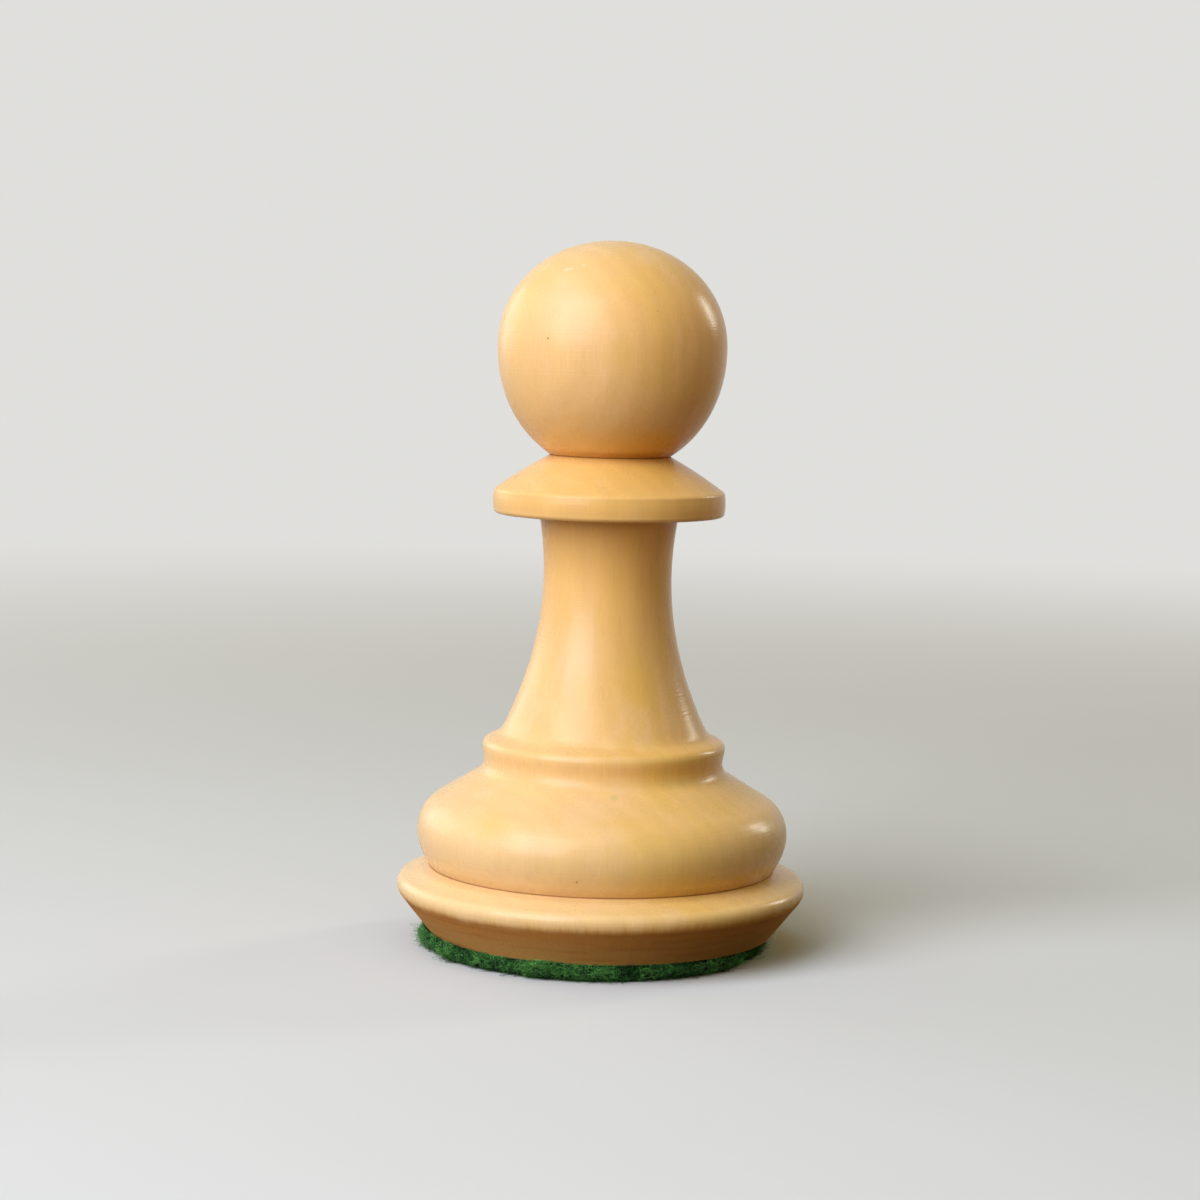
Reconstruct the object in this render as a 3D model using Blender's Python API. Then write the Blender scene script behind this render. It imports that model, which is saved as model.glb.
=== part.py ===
"""A weighted, felted chess pawn: a turned boxwood body, a steel weight, a wooden plug and a felt pad.

Every piece is turned about the Z axis. The pawn stands on its felt at z = 0. Each height is stacked on
the one below it, so a change of one size carries everything above it, and the flare of the stem takes up
what the other heights leave of the whole.
"""

import math

import bmesh
import bpy

# The whole pawn, underside of the felt to the top of the ball, metres
PAWN_HEIGHT = 0.0550

# Felt pad and the glue above it
FELT_DIAMETER = 0.0276
FELT_THICKNESS = 0.0011
FELT_EDGE = 0.0002          # softened edge of the cut felt
GLUE_LINE = 0.0003          # glue between pieces that are stuck together

# Base plate: an undercut foot, an upright rim with eased edges, and a top that slopes up to the crease
FOOT_DIAMETER = 0.0270
UNDERCUT_HEIGHT = 0.00338   # foot up to the rim
BASE_DIAMETER = 0.0319
RIM_HEIGHT = 0.0003         # upright part of the rim, between its two edges
RIM_RADIUS = 0.00035
PLATE_RISE = 0.00142        # rim up to the crease under the dome

# Dome: a skirt that draws in to the crease, a round shoulder, and a slope up to the cove
CREASE_DIAMETER = 0.0269
DOME_DIAMETER = 0.0289
SKIRT_HEIGHT = 0.00265      # crease up to the widest circle of the dome
DOME_RISE = 0.00554         # widest circle up to the waist of the cove
SHOULDER_RADIUS = 0.0031

# Ring: a cove, then a round edge and a sloping ledge on which the stem stands
COVE_DIAMETER = 0.01862
COVE_RADIUS = 0.0012
COVE_HEIGHT = 0.00109       # waist of the cove up to the widest circle of the ring
RING_DIAMETER = 0.01892
RING_EDGE_RADIUS = 0.00066
RING_RISE = 0.00105         # widest circle of the ring up to the foot of the stem

# Stem: flares down to the ring and a little up to the collar
STEM_FOOT_DIAMETER = 0.0162
WAIST_DIAMETER = 0.00997
NECKING_HEIGHT = 0.0047     # waist of the stem up to the collar
STEM_TOP_DIAMETER = 0.01084

# Collar: a band with eased edges under a cone that climbs to the groove below the ball
COLLAR_DIAMETER = 0.01796
BAND_HEIGHT = 0.00202       # underside of the collar up to its top edge
EDGE_RADIUS = 0.00036
CONE_HEIGHT = 0.00257       # top edge of the band up to the groove
GROOVE_DIAMETER = 0.0093

# Ball: nearly round, with a slightly flat crown
BALL_DIAMETER = 0.0177
BALL_LOWER_HEIGHT = 0.0083  # groove up to the widest circle of the ball
BALL_CROWN_HEIGHT = 0.0082  # widest circle of the ball up to its top
BALL_FULLNESS = 2.06        # 2 is an ellipse, more is squarer

# Weight and plug in the bore, which is drilled to fit them
WEIGHT_DIAMETER = 0.0144
WEIGHT_LENGTH = 0.0090
WEIGHT_CHAMFER = 0.0005
PLUG_THICKNESS = 0.0026
PLUG_CHAMFER = 0.0005       # on the edge that enters the bore first
SPUR_DIAMETER = 0.0024      # mark left by the drill's centre spur at the end of the bore
SPUR_DEPTH = 0.0010

# Facets
TURNS = 56                  # flats around each turned piece
CREASE_ANGLE = math.radians(32)
WELD_DISTANCE = 1e-7


def arc(centre, radius, start, end, steps):
    """Points on a circle from one angle to another, in radians, both ends included."""
    angles = [start + (end - start) * i / steps for i in range(steps + 1)]
    return [(centre[0] + radius * math.cos(a), centre[1] + radius * math.sin(a)) for a in angles]


def flank(waist, end, steps):
    """A parabola that stands upright at the waist and swings to the end, without the waist point."""
    fractions = [i / steps for i in range(1, steps + 1)]
    return [(waist[0] + (end[0] - waist[0]) * f * f, waist[1] + (end[1] - waist[1]) * f) for f in fractions]


def touch_angle(centre, radius, point, side):
    """Angle on a circle at which a straight line from a point touches it, on one side or the other."""
    dx, dz = point[0] - centre[0], point[1] - centre[1]
    return math.atan2(dz, dx) + side * math.acos(radius / math.hypot(dx, dz))


def flare_height():
    """Foot of the stem up to its waist: what the other heights leave of the whole pawn."""
    base = FELT_THICKNESS + GLUE_LINE + UNDERCUT_HEIGHT + RIM_HEIGHT + PLATE_RISE
    dome = SKIRT_HEIGHT + DOME_RISE
    ring = COVE_HEIGHT + RING_RISE
    collar = NECKING_HEIGHT + BAND_HEIGHT + CONE_HEIGHT
    ball = BALL_LOWER_HEIGHT + BALL_CROWN_HEIGHT
    return PAWN_HEIGHT - base - dome - ring - collar - ball


def ball_profile(groove_z):
    """Top of the ball down to the groove: two quarter superellipses that share the widest circle."""
    radius = BALL_DIAMETER / 2
    middle = groove_z + BALL_LOWER_HEIGHT
    power = 2 / BALL_FULLNESS
    crown = [math.pi / 2 * (1 - i / 11) for i in range(11)]
    points = [(radius * math.cos(a) ** power, middle + BALL_CROWN_HEIGHT * math.sin(a) ** power) for a in crown]
    points[0] = (0.0, middle + BALL_CROWN_HEIGHT)
    # the lower half is stretched so that it reaches the groove's diameter at the groove's height
    seat = math.acos((GROOVE_DIAMETER / BALL_DIAMETER) ** (1 / power))
    reach = BALL_LOWER_HEIGHT / math.sin(seat) ** power
    lower = [seat * i / 8 for i in range(9)]
    points += [(radius * math.cos(a) ** power, middle - reach * math.sin(a) ** power) for a in lower]
    return points


def collar_profile(collar_z):
    """Cone, band and underside of the collar, from below the groove to the stem."""
    edge = min(EDGE_RADIUS, BAND_HEIGHT / 2)
    middle = COLLAR_DIAMETER / 2 - edge
    top = (middle, collar_z + BAND_HEIGHT - edge)
    groove = (GROOVE_DIAMETER / 2, collar_z + BAND_HEIGHT + CONE_HEIGHT)
    points = arc(top, edge, touch_angle(top, edge, groove, -1), 0, 3)
    return points + arc((middle, collar_z + edge), edge, 0, -math.pi / 2, 4)


def stem_profile(foot_z):
    """Top of the stem at the collar, in to the waist, and out to the ring."""
    waist = (WAIST_DIAMETER / 2, foot_z + flare_height())
    top = flank(waist, (STEM_TOP_DIAMETER / 2, waist[1] + NECKING_HEIGHT), 3)
    return top[::-1] + [waist] + flank(waist, (STEM_FOOT_DIAMETER / 2, foot_z), 8)


def ring_profile(ring_z):
    """Ledge from the foot of the stem to the ring's round edge, then in to the cove."""
    edge = min(RING_EDGE_RADIUS, 0.9 * RING_RISE)
    centre = (RING_DIAMETER / 2 - edge, ring_z)
    foot = (STEM_FOOT_DIAMETER / 2, ring_z + RING_RISE)
    points = arc(centre, edge, max(0.0, touch_angle(centre, edge, foot, -1)), 0.0, 4)
    cove = (COVE_DIAMETER / 2, ring_z - COVE_HEIGHT)
    return points + flank(cove, (RING_DIAMETER / 2, ring_z), 2)[-2::-1] + [cove]


def dome_profile(dome_z):
    """Cove, straight slope and round shoulder down to the widest circle, then the skirt to the crease.

    The slope is the line that touches the cove's arc on one side and the shoulder's on the other.
    """
    wide, waist = DOME_DIAMETER / 2, COVE_DIAMETER / 2
    span = math.hypot(wide - SHOULDER_RADIUS - waist - COVE_RADIUS, DOME_RISE)
    limit = min(1.0, 0.95 * span / (SHOULDER_RADIUS + COVE_RADIUS))
    shoulder, cove = SHOULDER_RADIUS * limit, COVE_RADIUS * limit
    shoulder_centre = (wide - shoulder, dome_z)
    cove_centre = (waist + cove, dome_z + DOME_RISE)
    turn = touch_angle(shoulder_centre, shoulder + cove, cove_centre, -1)
    points = arc(cove_centre, cove, math.pi, turn + math.pi, 4)[1:]
    points += arc(shoulder_centre, shoulder, turn, 0, 6)
    return points + flank((wide, dome_z), (CREASE_DIAMETER / 2, dome_z - SKIRT_HEIGHT), 5)


def plate_profile():
    """Upright rim with eased edges between the sloping top of the plate and its undercut, then the foot."""
    lower = (BASE_DIAMETER / 2 - RIM_RADIUS, UNDERCUT_HEIGHT)
    upper = (lower[0], UNDERCUT_HEIGHT + RIM_HEIGHT)
    crease = (CREASE_DIAMETER / 2, upper[1] + PLATE_RISE)
    foot = (FOOT_DIAMETER / 2, 0.0)
    points = arc(upper, RIM_RADIUS, max(0.0, touch_angle(upper, RIM_RADIUS, crease, -1)), 0.0, 3)
    return points + arc(lower, RIM_RADIUS, 0.0, min(0.0, touch_angle(lower, RIM_RADIUS, foot, 1)), 3) + [foot]


def bore_profile():
    """Mouth, wall and flat end of the bore, with the spur's mark in the middle."""
    radius = WEIGHT_DIAMETER / 2 + GLUE_LINE
    depth = PLUG_THICKNESS + GLUE_LINE + WEIGHT_LENGTH + GLUE_LINE
    return [(radius, 0.0), (radius, depth), (SPUR_DIAMETER / 2, depth), (0.0, depth + SPUR_DEPTH)]


def body_profile():
    """The whole turning, from the top of the ball down its outside, and up into the bore."""
    dome_z = UNDERCUT_HEIGHT + RIM_HEIGHT + PLATE_RISE + SKIRT_HEIGHT
    ring_z = dome_z + DOME_RISE + COVE_HEIGHT
    stem_z = ring_z + RING_RISE
    collar_z = stem_z + flare_height() + NECKING_HEIGHT
    groove_z = collar_z + BAND_HEIGHT + CONE_HEIGHT
    points = ball_profile(groove_z) + collar_profile(collar_z) + stem_profile(stem_z)
    points += ring_profile(ring_z) + dome_profile(dome_z) + plate_profile()
    return points + bore_profile()


def weight_profile():
    """A length of round bar with both edges chamfered."""
    radius, cut = WEIGHT_DIAMETER / 2, WEIGHT_CHAMFER
    upper = [(0.0, WEIGHT_LENGTH), (radius - cut, WEIGHT_LENGTH), (radius, WEIGHT_LENGTH - cut)]
    return upper + [(radius, cut), (radius - cut, 0.0), (0.0, 0.0)]


def plug_profile():
    """A wooden disc, chamfered where it enters the bore."""
    radius, cut = WEIGHT_DIAMETER / 2, PLUG_CHAMFER
    upper = [(0.0, PLUG_THICKNESS), (radius - cut, PLUG_THICKNESS), (radius, PLUG_THICKNESS - cut)]
    return upper + [(radius, 0.0), (0.0, 0.0)]


def felt_profile():
    """A flat disc with its edges softened."""
    radius, soft = FELT_DIAMETER / 2, FELT_EDGE
    upper = [(0.0, FELT_THICKNESS), (radius - soft, FELT_THICKNESS), (radius, FELT_THICKNESS - soft)]
    return upper + [(radius, soft), (radius - soft, 0.0), (0.0, 0.0)]


def make_material(name, colour, roughness, metallic=0.0):
    """A Principled material of one colour."""
    material = bpy.data.materials.new(name)
    material.use_nodes = True
    shader = material.node_tree.nodes["Principled BSDF"]
    shader.inputs["Base Color"].default_value = (*colour, 1.0)
    shader.inputs["Roughness"].default_value = roughness
    shader.inputs["Metallic"].default_value = metallic
    return material


def turn_piece(name, profile, base_z, material, parent):
    """Spin a profile of (radius, height) points about Z into a closed solid standing at base_z."""
    form = bmesh.new()
    verts = [form.verts.new((radius, 0.0, height)) for radius, height in profile]
    edges = [form.edges.new(pair) for pair in zip(verts, verts[1:])]
    bmesh.ops.spin(form, geom=verts + edges, cent=(0, 0, 0), axis=(0, 0, 1), angle=math.tau, steps=TURNS)
    bmesh.ops.remove_doubles(form, verts=form.verts, dist=WELD_DISTANCE)
    bmesh.ops.recalc_face_normals(form, faces=form.faces)
    mesh = bpy.data.meshes.new(name)
    form.to_mesh(mesh)
    form.free()
    mesh.shade_smooth()
    mesh.set_sharp_from_angle(angle=CREASE_ANGLE)
    mesh.materials.append(material)
    piece = bpy.data.objects.new(name, mesh)
    piece.location.z = base_z
    piece.parent = parent
    bpy.context.collection.objects.link(piece)
    return piece


def build_pawn():
    """All four pieces on one empty, stacked from the felt up."""
    pawn = bpy.data.objects.new("chess_pawn", None)
    bpy.context.collection.objects.link(pawn)
    foot_z = FELT_THICKNESS + GLUE_LINE
    weight_z = foot_z + PLUG_THICKNESS + GLUE_LINE
    boxwood = make_material("boxwood", (0.72, 0.46, 0.19), 0.32)
    steel = make_material("bar_steel", (0.45, 0.44, 0.43), 0.42, 1.0)
    plug_wood = make_material("plug_wood", (0.52, 0.36, 0.2), 0.7)
    felt = make_material("green_felt", (0.02, 0.16, 0.045), 0.95)
    turn_piece("turned_body", body_profile(), foot_z, boxwood, pawn)
    turn_piece("weight_slug", weight_profile(), weight_z, steel, pawn)
    turn_piece("bore_plug", plug_profile(), foot_z, plug_wood, pawn)
    turn_piece("felt_pad", felt_profile(), 0.0, felt, pawn)


for leftover in list(bpy.data.objects):
    bpy.data.objects.remove(leftover)
build_pawn()
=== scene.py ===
"""The looks of a boxwood chess pawn: the lacquered turning, the weight and plug inside it, and its felt."""

import math
from types import SimpleNamespace

import bpy
import numpy as np
from mathutils import Matrix, Vector


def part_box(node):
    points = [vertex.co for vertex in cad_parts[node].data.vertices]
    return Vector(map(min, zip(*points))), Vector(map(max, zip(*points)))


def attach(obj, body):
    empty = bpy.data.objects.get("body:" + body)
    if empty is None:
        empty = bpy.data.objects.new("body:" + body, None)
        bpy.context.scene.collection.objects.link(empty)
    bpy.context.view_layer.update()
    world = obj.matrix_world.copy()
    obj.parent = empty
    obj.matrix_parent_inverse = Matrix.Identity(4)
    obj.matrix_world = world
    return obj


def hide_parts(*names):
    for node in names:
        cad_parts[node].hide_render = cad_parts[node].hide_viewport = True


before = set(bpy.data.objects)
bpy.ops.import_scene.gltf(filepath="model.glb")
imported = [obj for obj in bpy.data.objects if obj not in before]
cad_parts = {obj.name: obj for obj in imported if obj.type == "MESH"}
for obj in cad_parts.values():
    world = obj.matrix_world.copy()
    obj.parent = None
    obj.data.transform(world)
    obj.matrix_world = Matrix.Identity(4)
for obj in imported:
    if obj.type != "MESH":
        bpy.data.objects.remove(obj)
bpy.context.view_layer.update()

MM = 0.001

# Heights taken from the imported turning, in metres and in millimetres above the floor
BODY_LOW, BODY_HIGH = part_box("turned_body")
FOOT_Z = BODY_LOW[2]
TOP_Z = BODY_HIGH[2]
FOOT_LEVEL = FOOT_Z / MM

# Outline of the turning, in millimetres: the sizes of the solid, with a hand-eased rim, crease and ring
FOOT_RADIUS = 13.5
UNDERCUT_HEIGHT = 3.38
BASE_RADIUS = 15.95
RIM_HEIGHT = 0.3            # the upright band between the rim's two edges
RIM_ROUND = 0.75            # the hand-sanded rim takes the band and its upper edge in one round
RIM_BELLY = 1.3             # and turns under more slowly below its widest point
PLATE_RISE = 1.32
CREASE_RADIUS = 13.45
DOME_RADIUS = 14.45
SKIRT_HEIGHT = 2.75         # the parting tool went a tenth deeper at the crease
DOME_RISE = 5.54
SHOULDER_RADIUS = 3.1
COVE_WAIST_RADIUS = 9.31
COVE_RADIUS = 1.2
COVE_HEIGHT = 1.09
RING_RADIUS = 9.46
RING_EDGE_RADIUS = 0.66
RING_RISE = 1.05
STEM_FOOT_RADIUS = 8.1
WAIST_RADIUS = 4.985
NECKING_HEIGHT = 4.7
STEM_TOP_RADIUS = 5.42
COLLAR_RADIUS = 8.98
BAND_HEIGHT = 2.02
BAND_CROWN = 0.05           # how far the band swells between its two edges
EDGE_RADIUS = 0.36
CONE_HEIGHT = 2.57
CONE_CROWN = 0.1            # how far the cone swells between the groove and the band
GROOVE_RADIUS = 4.65
BALL_RADIUS = 8.85
BALL_LOWER_HEIGHT = 8.3
BALL_CROWN_HEIGHT = 8.2
BALL_FULLNESS = 2.06        # 2 is an ellipse, more is squarer
CROWN_POINTS = 58           # points on the ball's outline above its middle
LOWER_POINTS = 44           # and below it
BORE_RADIUS = 7.5
BORE_DEPTH = 12.2
SPUR_RADIUS = 1.2
SPUR_DEPTH = 1.0
JUNCTION_REACH = 0.9        # how far the stem's foot is blended into the ring

# Surface of the turning
BODY_COLUMNS = 224          # points round the turning
SANDING = 0.012             # how uneven the hand sanding leaves it
SANDING_SEED = 7
SANDING_LUMPS = (14, 9)     # points along and round in one unevenness
SANDING_START = 1.5         # radius past which it shows; the very top is left smooth
CRISP_ANGLE = 35            # degrees between faces, past which an edge stays crisp
WEAR_REACH = 0.4            # how far the wear of an edge spreads along the outline
DIRT_AND_SHADE_REACH = 0.13           # how far the dirt and painted shade of a hollow spread
STAIN_AND_SHADE_REACH = 0.7           # how far the lacquer pooled in a hollow, and the painted shade there, spreads

# Felt, in millimetres
FELT_SEED = 21
FELT_RADIUS = 13.2
FELT_HEIGHT = FOOT_LEVEL - 0.02     # just clear of the wood
FELT_SHIFT = (-0.55, -0.1)  # the pad is glued a little off centre
FELT_COLUMNS = 720
FACE_ROWS = 16
WALL_ROWS = 25
FELT_WAVE = 0.1             # how far the hand-cut edge wanders
FELT_WAVE_COLUMNS = 16      # points round in one of its wanders
FELT_BULGE = 0.3            # how far the wall stands out halfway down
FELT_LEAN = 0.7             # how far the cut leans in from the top edge to the floor
FELT_LUMP = 0.15            # how far the tufts stand out
TUFT_START = 0.9            # share of the radius past which they show
TUFT_SIZES = [(0.75, (4.5, 4.0)), (0.5, (1.6, 1.5)), (0.25, (0.7, 0.7))]    # weight, points down and round
TUFT_LIFT = 0.05            # how far they are pulled up or down
TUFT_SHADE = 0.06           # how much lighter a tuft is
# the shade of the felt's faces and of its wall; the wall under the fibres is painted darker, as the shade in
# the gaps between them
FACE_SHADE = 0.5
WALL_SHADE = 0.2

# Wool fibres, in millimetres and radians
FELT_CLUMPS = 175
CLUMP_SPREAD = 0.29         # how far the fibres of one clump spread round the wall
LEVEL_SPREAD = 0.2          # and up and down it, in shares of its height
HEADING_SPREAD = 0.8
ARCHED_SHARE = 0.6          # the share of fibres that come back to the wall
FIBRE_POINTS = 7
FIBRE_TIP = 0.45            # thickness of the tip to that of the root
FLOOR_GAP = 0.03            # fibres keep this far above the floor
FOOT_GAP = 0.16             # and rise above the felt only this far out from the foot
FOOT_RISE = 0.3             # by no more than this

# Kinds of fibre. Length, lift off the wall and girth run from the least to the most; the bend is a spread,
# and the shade is a mean with its spread

# Matted fibres hug the wall, with thicker and lighter curls over them; the matted ones are painted darker, as
# the shade under the curls
MATTED = {
    "count": 3400, "length": (0.5, 1.4), "lift": (0.03, 0.2),
    "bend": 1.8, "girth": (0.018, 0.034), "shade": (0.3, 0.22),
}
CURLED = {
    "count": 1700, "length": (0.7, 1.7), "lift": (0.12, 0.3),
    "bend": 3.8, "girth": (0.02, 0.04), "shade": (0.78, 0.2),
}
# A light fuzz of fine curly hairs, and longer hairs that stand away
FUZZ = {
    "count": 4100, "length": (0.3, 0.9), "lift": (0.15, 0.5),
    "bend": 2.6, "girth": (0.01, 0.018), "shade": (0.98, 0.15),
}
LOOSE = {
    "count": 1000, "length": (0.5, 1.5), "lift": (0.3, 1.0),
    "bend": 1.2, "girth": (0.009, 0.015), "shade": (0.85, 0.15),
}

# Camera, as the pawn is seen in the photograph
CAMERA_PLACE = (-0.545, -224.6, 49.8)       # millimetres
CAMERA_PITCH = 5.74         # degrees downwards
CAMERA_ROLL = 1.294
LENS = 87.03                # millimetres
SENSOR_WIDTH = 36.0


# Outline of the turning: each function gives points of (radius, height above the foot)

def arc(centre, radius, start, end, spacing):
    """Points on a circle: the centre plus the radius times cosine and sine of an even run of angles."""
    steps = max(3, round(radius * abs(end - start) / spacing))
    angle = np.linspace(start, end, steps + 1)
    return np.stack([centre[0] + radius * np.cos(angle), centre[1] + radius * np.sin(angle)], axis=1)


def straight(start, end, spacing):
    """Points spread evenly on a line."""
    steps = max(2, round(math.dist(start, end) / spacing))
    return np.linspace(start, end, steps + 1)


def flank(waist, end, spacing):
    """A parabola: the height runs evenly from the waist to the end, and the radius with its square."""
    steps = max(3, round(math.dist(waist, end) / spacing))
    run = np.linspace(0.0, 1.0, steps + 1)[:, None]
    return np.array(waist) + (np.array(end) - np.array(waist)) * np.hstack([run ** 2, run])


def sweep(start, end, spacing):
    """Half a cosine: the height runs evenly from start to end, and the radius swings over softly."""
    steps = max(3, round(math.dist(start, end) / spacing))
    run = np.linspace(0.0, 1.0, steps + 1)[:, None]
    swing = 0.5 - 0.5 * np.cos(math.pi * run)
    return np.array(start) + (np.array(end) - np.array(start)) * np.hstack([swing, run])


def touch_angle(centre, radius, point, side):
    """Angle on a circle at which a straight line from a point touches it, on one side or the other."""
    across, up = point[0] - centre[0], point[1] - centre[1]
    return math.atan2(up, across) + side * math.acos(radius / math.hypot(across, up))


def ball_outline(groove_z):
    """Two quarter superellipses from the top to the groove.

    The radius goes with the cosine and the height with the sine, both raised to two over the fullness.
    """
    power = 2 / BALL_FULLNESS
    middle = groove_z + BALL_LOWER_HEIGHT
    crown = np.linspace(math.pi / 2, 0.0, CROWN_POINTS)[1:]
    seat = math.acos((GROOVE_RADIUS / BALL_RADIUS) ** (1 / power))
    reach = BALL_LOWER_HEIGHT / math.sin(seat) ** power
    lower = np.linspace(0.0, seat, LOWER_POINTS)[1:]
    radius = BALL_RADIUS * np.cos(np.concatenate([crown, lower])) ** power
    rise = middle + BALL_CROWN_HEIGHT * np.sin(crown) ** power
    fall = middle - reach * np.sin(lower) ** power
    return np.stack([radius, np.concatenate([rise, fall])], axis=1)


def collar_outline(collar_z):
    """A cone and a band that both swell as a sine, with an eased edge between, and a flat underside."""
    middle = COLLAR_RADIUS - EDGE_RADIUS
    top = (middle, collar_z + BAND_HEIGHT - EDGE_RADIUS)
    groove = (GROOVE_RADIUS, collar_z + BAND_HEIGHT + CONE_HEIGHT)
    upper_edge = arc(top, EDGE_RADIUS, touch_angle(top, EDGE_RADIUS, groove, -1), 0.0, 0.07)
    cone = straight(groove, upper_edge[0], 0.22)
    cone[:, 1] += CONE_CROWN * np.sin(np.linspace(0.0, math.pi, len(cone)))
    band = straight(upper_edge[-1], (COLLAR_RADIUS, collar_z + EDGE_RADIUS), 0.15)
    band[:, 0] += BAND_CROWN * np.sin(np.linspace(0.0, math.pi, len(band)))
    lower_edge = arc((middle, collar_z + EDGE_RADIUS), EDGE_RADIUS, 0.0, -math.pi / 2, 0.07)
    underside = straight(lower_edge[-1], (STEM_TOP_RADIUS, collar_z), 0.3)
    return [cone, upper_edge, band, lower_edge, underside]


def stem_outline(stem_z, collar_z):
    """Two parabolas that meet upright at the waist, one up to the collar and one down to the ring."""
    waist = (WAIST_RADIUS, collar_z - NECKING_HEIGHT)
    necking = flank(waist, (STEM_TOP_RADIUS, collar_z), 0.25)
    return [necking[::-1], flank(waist, (STEM_FOOT_RADIUS, stem_z), 0.25)]


def ring_outline(ring_z):
    """A sloping ledge that touches the arc of the ring's edge, then a soft sweep down to the cove."""
    centre = (RING_RADIUS - RING_EDGE_RADIUS, ring_z)
    foot = (STEM_FOOT_RADIUS, ring_z + RING_RISE)
    edge = arc(centre, RING_EDGE_RADIUS, touch_angle(centre, RING_EDGE_RADIUS, foot, -1), 0.0, 0.07)
    side = sweep((RING_RADIUS, ring_z), (COVE_WAIST_RADIUS, ring_z - COVE_HEIGHT), 0.12)
    return [straight(foot, edge[0], 0.12), edge, side]


def dome_outline(dome_z):
    """The cove's arc and the shoulder's arc with the line that touches both, then the skirt's parabola."""
    shoulder_centre = (DOME_RADIUS - SHOULDER_RADIUS, dome_z)
    cove_centre = (COVE_WAIST_RADIUS + COVE_RADIUS, dome_z + DOME_RISE)
    turn = touch_angle(shoulder_centre, SHOULDER_RADIUS + COVE_RADIUS, cove_centre, -1)
    cove = arc(cove_centre, COVE_RADIUS, math.pi, turn + math.pi, 0.12)
    shoulder = arc(shoulder_centre, SHOULDER_RADIUS, turn, 0.0, 0.2)
    skirt = flank((DOME_RADIUS, dome_z), (CREASE_RADIUS, dome_z - SKIRT_HEIGHT), 0.16)
    return [cove, straight(cove[-1], shoulder[0], 0.22), shoulder, skirt]


def plate_outline():
    """The plate's sloping top, the rim's two arcs and the undercut to the foot.

    The top touches the upper arc and the undercut touches the lower one.
    """
    widest = UNDERCUT_HEIGHT + RIM_HEIGHT / 2
    upper = (BASE_RADIUS - RIM_ROUND, widest)
    lower = (BASE_RADIUS - RIM_BELLY, widest)
    crease = (CREASE_RADIUS, UNDERCUT_HEIGHT + RIM_HEIGHT + PLATE_RISE)
    foot = (FOOT_RADIUS, 0.0)
    over = arc(upper, RIM_ROUND, touch_angle(upper, RIM_ROUND, crease, -1), 0.0, 0.06)
    bare_and_shaded_undercut = arc(lower, RIM_BELLY, 0.0, touch_angle(lower, RIM_BELLY, foot, 1), 0.06)
    top = straight(crease, over[0], 0.15)
    return [top, over, bare_and_shaded_undercut, straight(bare_and_shaded_undercut[-1], foot, 0.12), straight(foot, (BORE_RADIUS, 0.0), 1.2)]


def bore_outline():
    """The bore's wall and end, up to the rim of the spur's mark."""
    end = (BORE_RADIUS, BORE_DEPTH)
    return [straight((BORE_RADIUS, 0.0), end, 1.5), straight(end, (SPUR_RADIUS, BORE_DEPTH), 1.5)]


def body_outline():
    """The whole turning's outline without its two end points on the axis, which are given after it."""
    dome_z = UNDERCUT_HEIGHT + RIM_HEIGHT + PLATE_RISE + SKIRT_HEIGHT
    ring_z = dome_z + DOME_RISE + COVE_HEIGHT
    ball_top = (TOP_Z - FOOT_Z) / MM
    groove_z = ball_top - BALL_CROWN_HEIGHT - BALL_LOWER_HEIGHT
    collar_z = groove_z - CONE_HEIGHT - BAND_HEIGHT
    runs = [ball_outline(groove_z), *collar_outline(collar_z), *stem_outline(ring_z + RING_RISE, collar_z)]
    runs += [*ring_outline(ring_z), *dome_outline(dome_z), *plate_outline(), *bore_outline()]
    outline = np.vstack([runs[0]] + [run[1:] for run in runs[1:]])
    outline = ease_hollow(outline, (STEM_FOOT_RADIUS, ring_z + RING_RISE), JUNCTION_REACH)
    return outline, (0.0, ball_top), (0.0, BORE_DEPTH + SPUR_DEPTH)


def ease_hollow(outline, corner, reach):
    """Round the outline near a corner: each point moves to the average of its neighbours, by a bell curve.

    The bell's width is a third of the reach, and the change fades out towards the reach.
    """
    gap = np.linalg.norm(outline - corner, axis=1)
    apart = np.linalg.norm(outline[:, None] - outline[None, :], axis=2) / (reach / 3)
    weight = np.exp(-0.5 * apart ** 2)
    average = weight @ outline / weight.sum(axis=1, keepdims=True)
    share = np.clip(1.5 * (1 - gap / reach), 0.0, 1.0)[:, None]
    return outline + (average - outline) * share


def distance_along(outline):
    """Length of the outline from its first point to each of its points."""
    return np.concatenate([[0.0], np.cumsum(np.linalg.norm(np.diff(outline, axis=0), axis=1))])


def soft_corners(outline, along, reach):
    """How sharply the outline turns near each point: its turns, blurred by a bell curve along its length.

    Outer corners come out positive and hollows negative.
    """
    steps = np.diff(outline, axis=0)
    heading = np.unwrap(np.arctan2(steps[:, 1], steps[:, 0]))
    turn = np.concatenate([[0.0], -np.diff(heading), [0.0]])
    apart = (along[:, None] - along[None, :]) / reach
    return np.exp(-0.5 * apart ** 2) @ turn


# Meshes

def ring_faces(rows, columns):
    """Quads between neighbouring rows of a grid whose columns run round and join up."""
    here = np.arange(columns)
    ahead = np.roll(here, -1)
    start = np.arange(rows - 1)[:, None] * columns
    below = start + columns
    return np.stack([start + here, below + here, below + ahead, start + ahead], axis=-1).reshape(-1, 4)


def cap_faces(row_start, columns, pole, first):
    """Triangles that close a row onto one point on the axis, turned to face out at either end."""
    here = row_start + np.arange(columns)
    ahead = row_start + np.roll(np.arange(columns), -1)
    tip = np.full(columns, pole)
    order = [tip, here, ahead] if first else [here, tip, ahead]
    return np.stack(order, axis=-1)


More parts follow.
